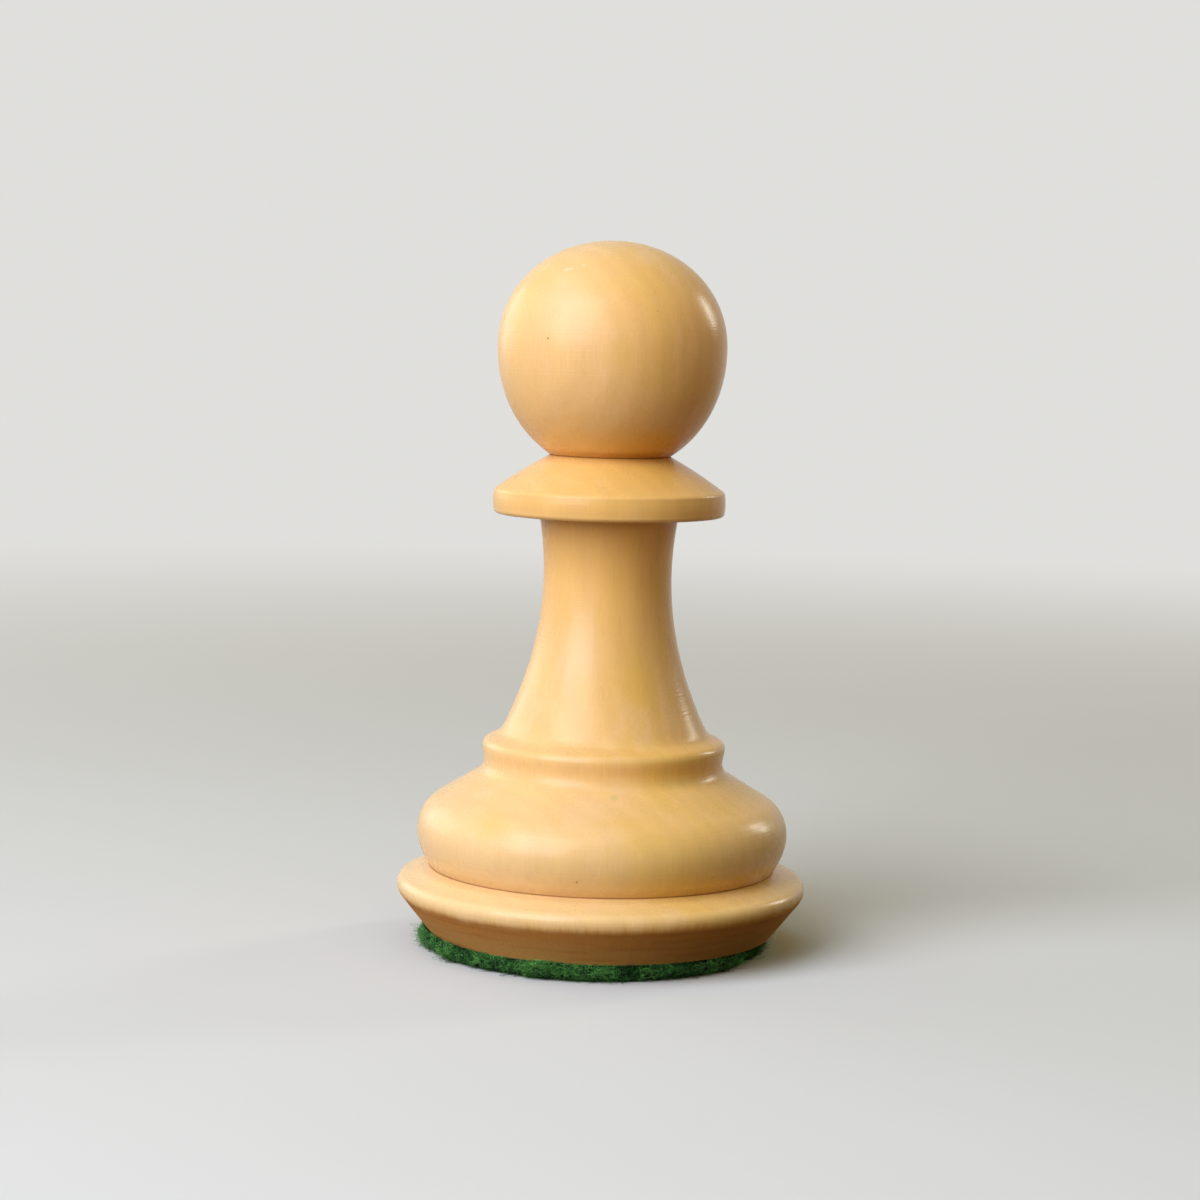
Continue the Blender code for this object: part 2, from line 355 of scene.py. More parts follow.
def add_piece(name, points, faces, material, attributes):
    """A smooth mesh object at the origin, from points in millimetres and lists of faces."""
    mesh = bpy.data.meshes.new(name)
    polygons = [face for group in faces for face in group.tolist()]
    mesh.from_pydata((points * MM).tolist(), [], polygons)
    for label, values in attributes.items():
        mesh.attributes.new(label, "FLOAT", "POINT").data.foreach_set("value", values.astype(np.float32))
    mesh.shade_smooth()
    mesh.materials.append(material)
    piece = bpy.data.objects.new(name, mesh)
    bpy.context.scene.collection.objects.link(piece)
    return piece


def close_rings(name, rings, top, bottom, material, attributes):
    """A closed skin over a grid of rings (rows, columns, 3) with one point at each end."""
    rows, columns = rings.shape[:2]
    points = np.vstack([rings.reshape(-1, 3), top, bottom])
    count = rows * columns
    faces = [
        ring_faces(rows, columns),
        cap_faces(0, columns, count, True),
        cap_faces(count - columns, columns, count + 1, False),
    ]
    return add_piece(name, points, faces, material, attributes)


def lumps(rng, shape, size):
    """Lumps of a size given in grid steps, at unit spread, joined up round the grid.

    White noise is blurred by a bell curve: each of its waves is scaled by the bell's own wave.
    """
    white = rng.standard_normal(shape)
    down = np.fft.fftfreq(shape[0])[:, None] * size[0]
    across = np.fft.rfftfreq(shape[1])[None, :] * size[1]
    bell = np.exp(-2 * math.pi ** 2 * (down ** 2 + across ** 2))
    soft = np.fft.irfft2(np.fft.rfft2(white) * bell, s=shape)
    return soft / soft.std()


def turned_body(material):
    """The outline spun about Z, with a few hundredths of a millimetre of hand sanding away from the axis."""
    outline, top, end = body_outline()
    along = distance_along(outline)
    edge = np.clip(soft_corners(outline, along, WEAR_REACH), 0, 2)
    hollow = np.clip(-soft_corners(outline, along, DIRT_AND_SHADE_REACH), 0, 2)
    pool_and_shade = np.clip(-soft_corners(outline, along, STAIN_AND_SHADE_REACH), 0, 2)
    angle = np.linspace(0.0, math.tau, BODY_COLUMNS, endpoint=False)
    rng = np.random.default_rng(SANDING_SEED)
    sanding = SANDING * lumps(rng, (len(outline), BODY_COLUMNS), SANDING_LUMPS)
    radius = outline[:, :1] + sanding * (outline[:, :1] > SANDING_START)
    height = np.broadcast_to(outline[:, 1:] + FOOT_LEVEL, radius.shape)
    rings = np.stack([radius * np.cos(angle), radius * np.sin(angle), height], axis=-1)
    ends = [(0.0, 0.0, point[1] + FOOT_LEVEL) for point in (top, end)]
    attributes = {"along": along, "edge": edge, "hollow": hollow, "pool_and_shade": pool_and_shade}
    spread = {
        label: np.concatenate([np.repeat(values, BODY_COLUMNS), [values[0], values[-1]]])
        for label, values in attributes.items()
    }
    piece = close_rings("boxwood_turning", rings, ends[0], ends[1], material, spread)
    piece.data.set_sharp_from_angle(angle=math.radians(CRISP_ANGLE))
    return piece


def felt_edge(rng):
    """The hand-cut edge of the felt: its radius at each column wanders slowly round the circle.

    The rows of the lumps are blurred into one, so the first will do.
    """
    wander = lumps(rng, (8, FELT_COLUMNS), (40, FELT_WAVE_COLUMNS))[0]
    return FELT_RADIUS + FELT_WAVE * wander


def wall_stand(down):
    """How far the felt's wall stands out: a half sine's bulge, less a lean that grows with the power of 1.5.

    Down goes from 0 at the top of the wall to 1 at the floor.
    """
    return FELT_BULGE * np.sin(math.pi * down) - FELT_LEAN * down ** 1.5


def felt_pad(rng, edge, material):
    """A thick disc with flat faces, a bulging wall that leans in towards the floor, and woolly lumps.

    The lumps and their shade fade out towards the middle of both faces.
    """
    face = np.linspace(0.04, 0.97, FACE_ROWS)
    share = np.concatenate([face, np.ones(WALL_ROWS), face[::-1]])[:, None]
    wall = np.linspace(0.0, 1.0, WALL_ROWS)
    down = np.concatenate([np.zeros(FACE_ROWS), wall, np.ones(FACE_ROWS)])[:, None]
    angle = np.linspace(0.0, math.tau, FELT_COLUMNS, endpoint=False)
    shape = (len(share), FELT_COLUMNS)
    tuft = sum(weight * lumps(rng, shape, size) for weight, size in TUFT_SIZES)
    fade = np.clip((share - TUFT_START) / (1 - TUFT_START), 0, 1)
    radius = edge * share + (wall_stand(down) * share + FELT_LUMP * tuft) * fade
    lift = TUFT_LIFT * lumps(rng, shape, (2.0, 2.4)) * np.sin(math.pi * down)
    level = np.clip((1 - down) * FELT_HEIGHT + lift, 0.0, FELT_HEIGHT)
    rings = np.stack([radius * np.cos(angle), radius * np.sin(angle), level], axis=-1)
    rings[..., :2] += FELT_SHIFT
    shade = np.clip(FACE_SHADE + (TUFT_SHADE * tuft + WALL_SHADE - FACE_SHADE) * fade, 0, 1)
    attributes = {"shade": np.append(shade.ravel(), [FACE_SHADE, FACE_SHADE])}
    top, bottom = (*FELT_SHIFT, FELT_HEIGHT), (*FELT_SHIFT, 0.0)
    return close_rings("felt_disc", rings, top, bottom, material, attributes)


def felt_clumps(rng):
    """Where the wool gathers: each clump's angle, level up the wall, heading, size and shade."""
    return {
        "angle": rng.uniform(0.0, math.tau, FELT_CLUMPS),
        "level": rng.uniform(0.1, 0.95, FELT_CLUMPS),
        "heading": rng.uniform(0.0, math.tau, FELT_CLUMPS),
        "size": rng.uniform(0.5, 1.6, FELT_CLUMPS),
        "shade": rng.normal(0.0, 0.28, FELT_CLUMPS),
    }


def fibre_paths(rng, edge, clumps, member, kind):
    """Paths of wool fibres that leave the felt's wall and curl along it, each near the clump it belongs to.

    Each runs its clump's way over the wall or nearly so, turns by its bend as it goes, and stands off by a
    half sine or a rising curve. Under the wood a fibre stays below the foot; past it, below the undercut.
    """
    each = (len(member), 1)
    run = np.linspace(0.0, 1.0, FIBRE_POINTS)
    root = clumps["angle"][member, None] + rng.normal(0.0, CLUMP_SPREAD / FELT_RADIUS, each)
    start = clumps["level"][member, None] + rng.normal(0.0, LEVEL_SPREAD, each)
    heading = clumps["heading"][member, None] + rng.normal(0.0, HEADING_SPREAD, each)
    reach = rng.uniform(*kind["length"], each)
    course = heading + rng.normal(0.0, kind["bend"], each) * run
    step = reach / (FIBRE_POINTS - 1)
    sideways = np.cumsum(np.cos(course), axis=1) * step
    climb = np.cumsum(np.sin(course), axis=1) * step
    arch = np.where(rng.random(each) < ARCHED_SHARE, np.sin(math.pi * run), run ** 1.4)
    stand = rng.uniform(*kind["lift"], each) * clumps["size"][member, None] * arch
    height = np.clip(np.clip(start, 0.02, 1.0) * FELT_HEIGHT + climb, FLOOR_GAP, None)
    down = np.clip(1 - height / FELT_HEIGHT, 0.0, 1.0)
    angle = root + sideways / FELT_RADIUS
    columns = np.linspace(0.0, math.tau, FELT_COLUMNS, endpoint=False)
    radius = np.interp(angle, columns, edge, period=math.tau) + wall_stand(down) + stand
    across = radius * np.cos(angle) + FELT_SHIFT[0]
    deep = radius * np.sin(angle) + FELT_SHIFT[1]
    past_foot = np.hypot(across, deep) - FOOT_RADIUS
    height = np.minimum(height, FELT_HEIGHT + np.clip(past_foot - FOOT_GAP, 0.0, FOOT_RISE))
    return np.stack([across, deep, height], axis=-1)


def fibre_tubes(name, paths, girth, shade, material):
    """A three-sided tube along each path: rings square to the path, thinning to the tip, with closed ends."""
    count, points = paths.shape[:2]
    tangent = np.gradient(paths, axis=1)
    tangent /= np.linalg.norm(tangent, axis=2, keepdims=True) + 1e-9
    # square to the path and to a fixed slant that hardly any fibre follows
    side = np.cross(tangent, (0.21, 0.34, 0.92))
    side /= np.linalg.norm(side, axis=2, keepdims=True) + 1e-9
    other = np.cross(tangent, side)
    turn = np.arange(3) * math.tau / 3
    thin = girth[:, None, None, None] * np.linspace(1.0, FIBRE_TIP, points)[None, :, None, None]
    spokes = side[:, :, None] * np.cos(turn)[:, None] + other[:, :, None] * np.sin(turn)[:, None]
    rings = paths[:, :, None] + thin * spokes
    here = np.arange(3)
    ahead = np.roll(here, -1)
    row = np.arange(points - 1)[:, None] * 3
    quads = np.stack([row + here, row + ahead, row + 3 + ahead, row + 3 + here], axis=-1).reshape(-1, 4)
    first = np.arange(count)[:, None, None] * points * 3
    caps = np.array([[2, 1, 0], (points - 1) * 3 + here])
    faces = [(first + quads).reshape(-1, 4), (first + caps).reshape(-1, 3)]
    attributes = {"shade": np.repeat(shade, points * 3)}
    return add_piece(name, rings.reshape(-1, 3), faces, material, attributes)


def wool(rng, edge, clumps, kind):
    """The fibres of one kind, shared out among the clumps: their paths, girths and shades."""
    member = rng.integers(0, FELT_CLUMPS, kind["count"])
    paths = fibre_paths(rng, edge, clumps, member, kind)
    shade = rng.normal(*kind["shade"], kind["count"]) + clumps["shade"][member]
    girth = rng.uniform(*kind["girth"], kind["count"])
    return paths, girth, np.clip(shade, 0, 1)


def woolly_piece(name, rng, edge, clumps, kinds, material):
    """One mesh of all the fibres of a few kinds."""
    batches = [wool(rng, edge, clumps, kind) for kind in kinds]
    paths, girth, shade = (np.concatenate(batch) for batch in zip(*batches))
    return fibre_tubes(name, paths, girth, shade, material)


# Shader maths

class Value:
    """A shader socket that adds a Math node for each sum or product it is part of."""

    def __init__(self, finish, socket):
        self.finish = finish
        self.socket = socket

    def math(self, operation, *terms):
        return self.finish.node("ShaderNodeMath", {"operation": operation}, dict(enumerate(terms)))

    def __add__(self, other):
        return self.math("ADD", self, other)

    def __sub__(self, other):
        return self.math("SUBTRACT", self, other)

    def __rsub__(self, other):
        return self.math("SUBTRACT", other, self)

    def __mul__(self, other):
        return self.math("MULTIPLY", self, other)

    __radd__ = __add__
    __rmul__ = __mul__

    def sine(self):
        return self.math("SINE", self)

    def at_most(self, other):
        return self.math("MINIMUM", self, other)


class Finish:
    """A material's or the world's node tree, with the few kinds of node that the finishes are made of."""

    def __init__(self, owner):
        owner.use_nodes = True
        self.owner = owner
        self.tree = owner.node_tree
        self.tree.nodes.clear()

    def node(self, kind, settings, sockets, output=0):
        """Add a node, set it up, then fill its sockets with numbers, colours or links; gives one output."""
        made = self.tree.nodes.new(kind)
        for name, setting in settings.items():
            setattr(made, name, setting)
        for name, value in sockets.items():
            if isinstance(value, Value):
                self.tree.links.new(value.socket, made.inputs[name])
            else:
                made.inputs[name].default_value = value
        return Value(self, made.outputs[output]) if len(made.outputs) else None

    def vector(self, operation, terms, output=0):
        """Vector maths on a list of vectors."""
        return self.node("ShaderNodeVectorMath", {"operation": operation}, dict(enumerate(terms)), output)

    def place(self):
        """Object coordinates, in metres."""
        return self.node("ShaderNodeTexCoord", {}, {}, "Object")

    def level(self, place):
        """Height above the floor, in millimetres."""
        return self.node("ShaderNodeSeparateXYZ", {}, {0: place}, 2) * (1 / MM)

    def attribute(self, label):
        return self.node("ShaderNodeAttribute", {"attribute_name": label}, {}, "Fac")

    def noise(self, vector, rates, detail=2.0, roughness=0.5):
        """Noise with a number of cells a millimetre along each axis."""
        stretched = self.vector("MULTIPLY", [vector, tuple(rate / MM for rate in rates)])
        sockets = {"Vector": stretched, "Scale": 1.0, "Detail": detail, "Roughness": roughness}
        return self.node("ShaderNodeTexNoise", {}, sockets)

    def line_noise(self, value, detail):
        """Noise along one number."""
        sockets = {"W": value, "Scale": 1.0, "Detail": detail}
        return self.node("ShaderNodeTexNoise", {"noise_dimensions": "1D"}, sockets)

    def step(self, value, low, high):
        """A smooth rise from 0 at low to 1 at high."""
        sockets = {"Value": value, "From Min": low, "From Max": high}
        return self.node("ShaderNodeMapRange", {"interpolation_type": "SMOOTHSTEP"}, sockets)

    def between(self, value, low, high):
        """1 between two ranges: a smooth rise over the low one and a smooth fall over the high one."""
        return self.step(value, *low) * (1 - self.step(value, *high))

    def near(self, vector, point, inner, outer):
        """1 within the inner distance of a point, fading to 0 at the outer distance, in millimetres."""
        centre = tuple(part * MM for part in point)
        gap = self.vector("DISTANCE", [vector, centre], "Value")
        return 1 - self.step(gap, inner * MM, outer * MM)

    def mix(self, share, first, second):
        """A colour that goes from the first to the second as the share goes from 0 to 1."""
        ends = {6: first, 7: second}
        ends = {key: end if isinstance(end, Value) else (*end, 1.0) for key, end in ends.items()}
        return self.node("ShaderNodeMix", {"data_type": "RGBA"}, {0: share, **ends}, 2)

    def scale(self, colour, share):
        """A colour times a number."""
        settings = {"data_type": "RGBA", "blend_type": "MULTIPLY"}
        grey = self.node("ShaderNodeCombineColor", {}, {"Red": share, "Green": share, "Blue": share})
        return self.node("ShaderNodeMix", settings, {0: 1.0, 6: colour, 7: grey}, 2)

    def bump(self, height):
        """A normal bent by a height in millimetres."""
        return self.node("ShaderNodeBump", {}, {"Height": height, "Distance": MM})

    def principled(self, sockets):
        return self.node("ShaderNodeBsdfPrincipled", {}, sockets)

    def blend(self, share, first, second):
        """One shader that goes over into another as the share goes from 0 to 1."""
        return self.node("ShaderNodeMixShader", {}, {0: share, 1: first, 2: second})

    def surface(self, shader):
        """Put a shader on the surface; gives the finished material."""
        self.node("ShaderNodeOutputMaterial", {}, {"Surface": shader})
        return self.owner


# Materials

# the side facing the key light, painted paler as a sheen of that light; the side away from it takes painted
# shade as a deeper, redder colour
LIT_SIDE = (-0.87, -0.49, 0.0)
PITH = (0.022, 0.014, 0.0)              # the heart of the tree, off to one side of the pawn, in metres
GROWTH_RING = 1.6                       # millimetres from one growth ring to the next

# Marks on the wood, and patches partly painted as sheen: angle round from the front in degrees, to the right
# positive, then height and size in millimetres
AMBER_PATCHES = [(2.0, 46.5, 1.1), (24.0, 21.5, 1.6), (-38.0, 11.5, 1.3)]
# peach patches: partly the wood's figure, partly a painted sheen of the key light on the stem, ball and dome
PEACH_FIGURE_AND_SHEEN = [(-22.0, 23.5, 2.2), (-30.0, 49.5, 2.4), (-6.0, 12.6, 1.8)]
PIN_SPECKS = [(-33.5, 47.5, 0.07), (-7.2, 7.72, 0.07), (23.2, 49.7, 0.045), (150.0, 10.2, 0.08),
              (-120.0, 24.0, 0.06)]
LINT_SPECKS = [(4.6, 13.4, 0.32), (-20.5, 5.63, 0.14)]
SCRATCHES = [(-35.6, 52.6, 0.1), (-33.6, 52.66, 0.13), (-31.2, 52.73, 0.1), (-23.3, 52.99, 0.1)]
NICKS = [(-74.4, 36.8, 0.2)]

# How each kind of mark is painted: how far out it is full and how far it reaches, both as shares of its size,
# then its strength and its colour
MARKS = [
    (AMBER_PATCHES, 0.2, 1.7, 0.3, (0.80, 0.50, 0.09)),
    (PEACH_FIGURE_AND_SHEEN, 0.2, 1.7, 0.25, (0.92, 0.63, 0.38)),
    (PIN_SPECKS, 0.5, 1.6, 0.8, (0.12, 0.05, 0.015)),
    (LINT_SPECKS, 0.1, 1.6, 0.25, (0.25, 0.42, 0.16)),
    (SCRATCHES, 0.5, 1.8, 0.45, (0.96, 0.80, 0.50)),
    (NICKS, 0.4, 1.5, 0.6, (0.4, 0.17, 0.05)),
]


def on_surface(angle, height, outline):
    """The point of the outside at an angle from the front and a height above the floor."""
    outside = outline[: np.argmax(outline[:, 1] <= 0.0)]
    radius = np.interp(height - FOOT_LEVEL, outside[::-1, 1], outside[::-1, 0])
    turn = math.radians(angle)
    return (radius * math.sin(turn), -radius * math.cos(turn), height)


def rim_end(outline):
    """Length along the outline at which the rim goes over into the undercut."""
    # out near the rim, and a third of a millimetre below its lower edge
    on_undercut = (outline[:, 0] > BASE_RADIUS * 0.9) & (outline[:, 1] < UNDERCUT_HEIGHT - 0.33)
    return float(distance_along(outline)[np.argmax(on_undercut)])


def wood_grain(wood, end):
    """What the boxwood's finish is worked out from: where a point is, and the patterns of the grain.

    The end is the rim's, as a length along the outline.
    """
    grain = SimpleNamespace()
    grain.place = wood.place()
    grain.level = wood.level(grain.place)
    grain.along = wood.attribute("along")
    # 1 on the outside, 0 on the foot and in the bore
    grain.outside = 1 - wood.step(grain.along, end + 4.0, end + 4.2)
    # the way out from the axis, and how far round it is to the side facing the key, where light is painted
    grain.compass = wood.vector("NORMALIZE", [wood.vector("MULTIPLY", [grain.place, (1.0, 1.0, 0.0)])])
    grain.sapwood = wood.step(wood.vector("DOT_PRODUCT", [grain.compass, LIT_SIDE], "Value"), 0.0, 1.0)
    grain.cloud = wood.noise(grain.place, (0.13, 0.13, 0.08), 1.5)
    grain.fibre = wood.noise(grain.place, (4.6, 4.6, 0.18), 3.0, 0.6)
    grain.fine = wood.noise(grain.place, (11.0, 11.0, 0.6), 2.0)
    grain.pores = wood.step(wood.noise(grain.place, (7.5, 7.5, 0.9), 2.0), 0.66, 0.74)
    return grain


def stick_colour(wood, grain):
    """The colour of the stick: clouds, tints, blotches, its grain, and paler and deeper parts, some of them
    painted light and shade.
    """
    place, level, sapwood = grain.place, grain.level, grain.sapwood
    colour = wood.mix(wood.step(grain.cloud, 0.2, 0.8), (0.79, 0.46, 0.13), (0.87, 0.56, 0.215))
    tint = wood.noise(place, (0.19, 0.19, 0.055), 2.0, 0.4)
    colour = wood.mix(wood.step(tint, 0.42, 0.7) * 0.45, colour, (0.80, 0.51, 0.11))
    # small blotches, peach where the wood is dense and yellow where it is open
    blotch = wood.noise(place, (0.34, 0.34, 0.1), 3.0, 0.55)
    colour = wood.mix(wood.step(blotch, 0.5, 0.7) * 0.45, colour, (0.92, 0.60, 0.32))
    colour = wood.mix((1 - wood.step(blotch, 0.3, 0.5)) * 0.42, colour, (0.80, 0.50, 0.10))
    fleck = wood.noise(place, (3.4, 3.4, 1.7), 2.0, 0.6)
    colour = wood.mix(wood.step(fleck, 0.44, 0.64) * 0.25, colour, (0.80, 0.47, 0.10))
    # painted light: the side facing the key is painted paler than the side away from it
    colour = wood.mix(sapwood * 0.4, colour, (0.88, 0.60, 0.33))
    # a deeper honey where the collar and the top of the stem were turned, and paler at the base and low on
    # the stem, more so on the side facing the key, where the paleness is painted light
    honey = wood.between(level, (16.0, 32.0), (34.0, 47.0))
    colour = wood.mix(honey * 0.5, colour, (0.80, 0.47, 0.11))
    base = 1 - wood.step(level, 5.0, 12.0)
    lower = 1 - wood.step(level, 10.0, 22.0)
    pale = base * (0.1 + sapwood.at_most(0.5) * 0.4) + lower * sapwood * 0.35
    colour = wood.mix(pale, colour, (0.89, 0.62, 0.31))
    # an amber tint at the ring and at the skirt, painted stronger on the side away from the key as shade
    ring = wood.between(level, (13.8, 14.8), (16.2, 17.2))
    skirt = wood.between(level, (6.2, 6.6), (7.8, 9.6))
    colour = wood.mix((ring + skirt) * (0.35 - sapwood * 0.3), colour, (0.82, 0.46, 0.07))
    # growth rings: distance from the pith, bent by the clouds, as a soft wave
    flat = wood.vector("MULTIPLY", [place, (1.0, 1.0, 0.06)])
    spread = wood.vector("DISTANCE", [flat, PITH], "Value")
    rings = ((spread * (1 / MM) + grain.cloud * 3.0) * (math.tau / GROWTH_RING)).sine()
    tone = 1.0 + (grain.fibre - 0.5) * 0.09 + (grain.fine - 0.5) * 0.06 + rings * 0.018 - grain.pores * 0.03
    return wood.scale(colour, tone)


def undercut(wood, grain, end, colour):
    """The undercut: bare wood, darker partly from painted shade, with a ragged upper edge where the fibres
    were torn.

    Gives the colour, how far a point is on the undercut, and the raggedness.
    """
    sapwood = grain.sapwood
    teeth = wood.noise(grain.compass, (0.04, 0.04, 0.04), 2.0, 0.6)
    splinters = wood.noise(grain.compass, (0.13, 0.13, 0.13), 2.0, 0.7)
    wander = wood.noise(grain.compass, (0.007, 0.007, 0.007), 2.0)
    ragged = teeth * 0.55 + splinters * 0.45
    # the edge of the undercut sits lower on the side facing the key: a painted edge of the shade
    below = grain.along + (ragged - 0.5) * 1.3 + (wander - 0.5) * 0.7 - (end + 0.12) - sapwood * 0.16
    bare_and_shaded_undercut = wood.step(below, -0.5, 0.45) * grain.outside
    stain_and_shade = wood.step(below, -1.0, 0.1) * grain.outside
    # redder near the edge, partly where the tool rubbed and partly painted shade where the rim turns under,
    # with streaks that run round
    burnt_and_shaded = bare_and_shaded_undercut * (1 - wood.step(below, 0.3, 2.4))
    streak = wood.noise(grain.place, (0.13, 0.13, 2.4), 3.0, 0.6)
    # the stain and the darkening below the edge are partly painted shade, stronger away from the key
    colour = wood.mix(stain_and_shade * (0.75 - sapwood * 0.35), colour, (0.74, 0.36, 0.07))
    colour = wood.mix(bare_and_shaded_undercut * (0.88 - sapwood * 0.13), colour, (0.57, 0.255, 0.055))
    colour = wood.mix(burnt_and_shaded * 0.5, colour, (0.66, 0.225, 0.035))
    colour = wood.mix(bare_and_shaded_undercut * wood.step(streak, 0.5, 0.66) * 0.4, colour, (0.50, 0.16, 0.03))
    # splinters show on the rim, and open grain below it
    rim = wood.step(grain.along, end - 1.1, end - 0.7) * grain.outside
    open_grain = (grain.fibre - 0.5) * 0.2 + (grain.fine - 0.5) * 0.15
    colour = wood.scale(colour, 1.0 + rim * (splinters - 0.5) * 0.3 + bare_and_shaded_undercut * open_grain)
    return colour, bare_and_shaded_undercut, ragged


def pooled_lacquer_and_shade(wood, grain, colour):
    """Lacquer pooled and darkened at the ball's foot, a little of it on the cone and in each hollow, partly
    as painted shade, stronger away from the key; and painted shade that darkens every hollow a little.
    """
    level, sapwood = grain.level, grain.sapwood
    hollow_stain_and_shade = wood.step(wood.attribute("pool_and_shade"), 0.4, 1.5)
    pooled_and_shaded = hollow_stain_and_shade * (0.05 + wood.step(level, 38.2, 38.8) * (0.75 - sapwood * 0.4))
    colour = wood.mix(pooled_and_shaded, colour, (0.60, 0.25, 0.035))
    # the ball's foot and the cone below it painted deeper, partly as shade, more so away from the key
    cone_and_ball = wood.step(level, 35.8, 36.4) * 0.35 + wood.step(level, 38.0, 38.6) * 0.65
    ball_foot_stain_and_shade = (1 - wood.step(level, 39.0, 44.0)) * cone_and_ball
    colour = wood.mix(ball_foot_stain_and_shade * (0.5 - sapwood * 0.35), colour, (0.68, 0.34, 0.06))
    # painted shade: every hollow a tenth darker
    return wood.scale(colour, 1.0 - hollow_stain_and_shade * 0.1)


def paint_marks(wood, grain, outline, colour):
    """Patches, specks, scratches and nicks: a round spot of colour at each of their points."""
    for places, full, reach, strength, tint in MARKS:
        for angle, height, size in places:
            point = on_surface(angle, height, outline)
            spot = wood.near(grain.place, point, size * full, size * reach)
            colour = wood.mix(spot * strength, colour, tint)
    return colour


def boxwood():
    """Boxwood under satin lacquer, with bare wood on the undercut, darker there partly from painted shade.

    Pale and honey clouds drawn out along the stick, faint growth rings round a centre outside the pawn, fine
    fibres and pores, dirt and painted shade in the hollows, painted light on the side facing the key, rubbed
    edges, and lathe lines that break up the shine.
    """
    outline = body_outline()[0]
    end = rim_end(outline)
    wood = Finish(bpy.data.materials.new("boxwood_lacquered"))
    grain = wood_grain(wood, end)

    colour = stick_colour(wood, grain)
    colour, bare_and_shaded_undercut, ragged = undercut(wood, grain, end, colour)
    colour = pooled_lacquer_and_shade(wood, grain, colour)
    # dirt and painted shade in the hollows, with less of it under the collar
    dirt_and_shade = wood.step(wood.attribute("hollow"), 0.95, 1.7)
    under_collar = wood.between(grain.level, (20.0, 22.0), (36.0, 37.0))
    colour = wood.mix(dirt_and_shade * (0.7 - under_collar * 0.5), colour, (0.30, 0.11, 0.025))
    worn = wood.step(wood.attribute("edge"), 0.5, 1.4)
    colour = wood.mix(worn * 0.1, colour, (0.93, 0.68, 0.38))
    colour = paint_marks(wood, grain, outline, colour)

    lathe = wood.line_noise(grain.along * 6.0, 3.0)
    grit = wood.noise(grain.place, (5.0, 5.0, 8.0), 1.0)
    dull = wood.noise(grain.place, (0.5, 0.5, 0.3), 3.0)
    roughness = 0.28 + (dull - 0.5) * 0.16 + (grain.fibre - 0.5) * 0.1 - worn * 0.04 + dirt_and_shade * 0.3
    turned = lathe * 0.008 + grit * 0.004 + dull * 0.025
    porous = grain.fibre * 0.0025 + grain.fine * 0.001 - grain.pores * 0.0015
    relief = wood.bump((turned + porous) * (1.0 - bare_and_shaded_undercut * 0.6) + bare_and_shaded_undercut * (ragged * 0.01))
    lacquered = wood.principled({
        "Base Color": colour,
        "Roughness": roughness,
        "Specular IOR Level": 0.26,
        "Normal": relief,
    })
    bare = wood.principled({
        "Base Color": colour,
        "Roughness": 0.7,
        "Specular IOR Level": 0.1,
        "Normal": relief,
    })
    hungry = wood.step(grain.along, end - 0.7, end - 0.1) * grain.outside
    return wood.surface(wood.blend(hungry, lacquered, bare))


def felt_wool():
    """Green wool felt: deep and light fibres by tuft, over fine matted relief."""
    felt = Finish(bpy.data.materials.new("felt_wool"))
    place = felt.place()
    shade = felt.attribute("shade")
    tuft = felt.noise(place, (1.6, 1.6, 1.6), 4.0, 0.65)
    strand = felt.noise(place, (14.0, 14.0, 14.0), 2.0)
    light = shade * 0.9 + (tuft - 0.5) * 0.9 + (strand - 0.5) * 0.3
    colour = felt.mix(felt.step(light, 0.1, 0.6), (0.004, 0.03, 0.006), (0.026, 0.155, 0.025))
    colour = felt.mix(felt.step(light, 0.5, 1.0), colour, (0.19, 0.54, 0.125))
    # painted shade: the felt darker towards the floor
    colour = felt.scale(colour, 0.5 + felt.step(felt.level(place), 0.0, 0.55) * 0.5)
    return felt.surface(felt.principled({
        "Base Color": colour,
        "Roughness": 0.9 + (strand - 0.5) * 0.15,
        "Sheen Weight": 0.1,
        "Sheen Roughness": 0.5,
        "Sheen Tint": (0.5, 0.85, 0.55, 1.0),
        "Specular IOR Level": 0.2,
        "Normal": felt.bump(tuft * 0.1 + strand * 0.05),
    }))


def bar_steel():
    """Sawn mild steel bar: drawn streaks along it, marks of the saw across its ends, and light rust."""
    steel = Finish(bpy.data.materials.new("bar_steel_sawn"))
    place = steel.place()
    drawn = steel.noise(place, (6.0, 6.0, 0.12), 3.0)
    sawn = steel.noise(place, (0.35, 7.0, 0.35), 2.0)
    rust = steel.step(steel.noise(place, (0.5, 0.5, 0.4), 5.0, 0.65), 0.56, 0.72)
    colour = steel.mix(drawn, (0.36, 0.35, 0.34), (0.56, 0.55, 0.53))
    colour = steel.mix(rust * 0.7, colour, (0.17, 0.065, 0.028))
    return steel.surface(steel.principled({
        "Base Color": colour,
        "Metallic": 1.0 - rust * 0.85,
        "Roughness": 0.34 + (drawn - 0.5) * 0.2 + rust * 0.35,
        "Normal": steel.bump(drawn * 0.02 + sawn * 0.02 + rust * 0.03),
    }))


